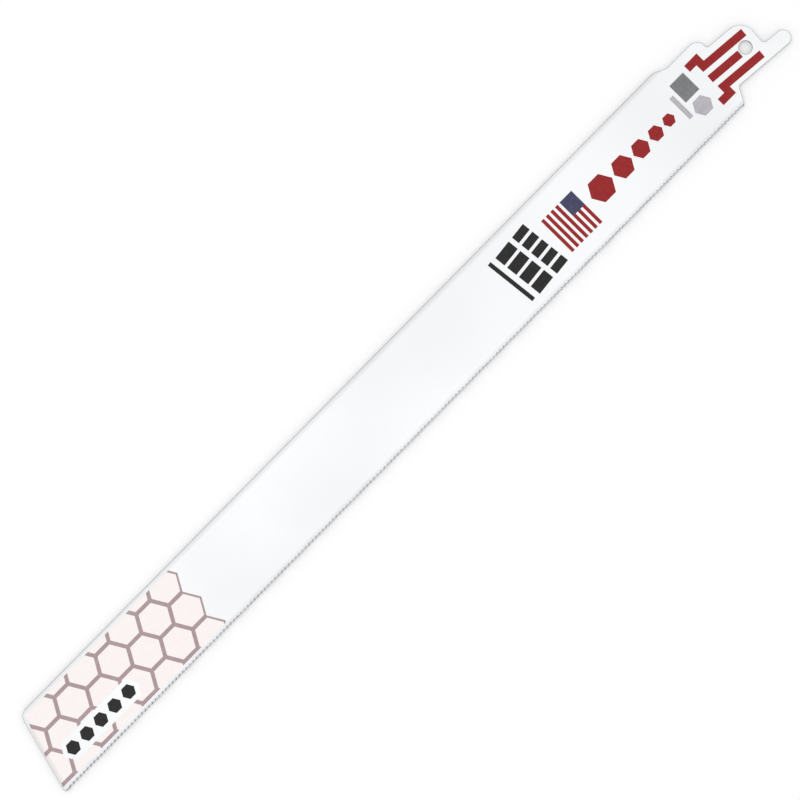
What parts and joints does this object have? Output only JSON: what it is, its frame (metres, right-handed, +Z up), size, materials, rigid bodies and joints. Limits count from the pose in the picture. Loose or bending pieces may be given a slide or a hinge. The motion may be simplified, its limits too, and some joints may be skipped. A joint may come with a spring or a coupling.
{
  "type": "reciprocating saw blade",
  "caption": "Long flat reciprocating saw blade for metal with fine teeth in a wavy set, a slanted nose and a canted tang with a hole and a tail.",
  "frame": {"origin": "under the middle of the blade's box, level with the lowest tooth, so that the blade lies on the ground plane", "axes": "+X along the blade, from the nose to the tang; +Y across it, from the teeth to the spine; +Z up, out of the printed face"},
  "size_m": [0.3048, 0.0254, 0.0016],
  "materials": {
    "white_enamel": "satin",
    "bare_steel": "satin",
    "red_ink": "satin",
    "black_ink": "satin",
    "navy_ink": "satin",
    "grey_ink": "satin"
  },
  "bodies": {
    "root": {"blade": "white_enamel"}
  },
  "joints": []
}
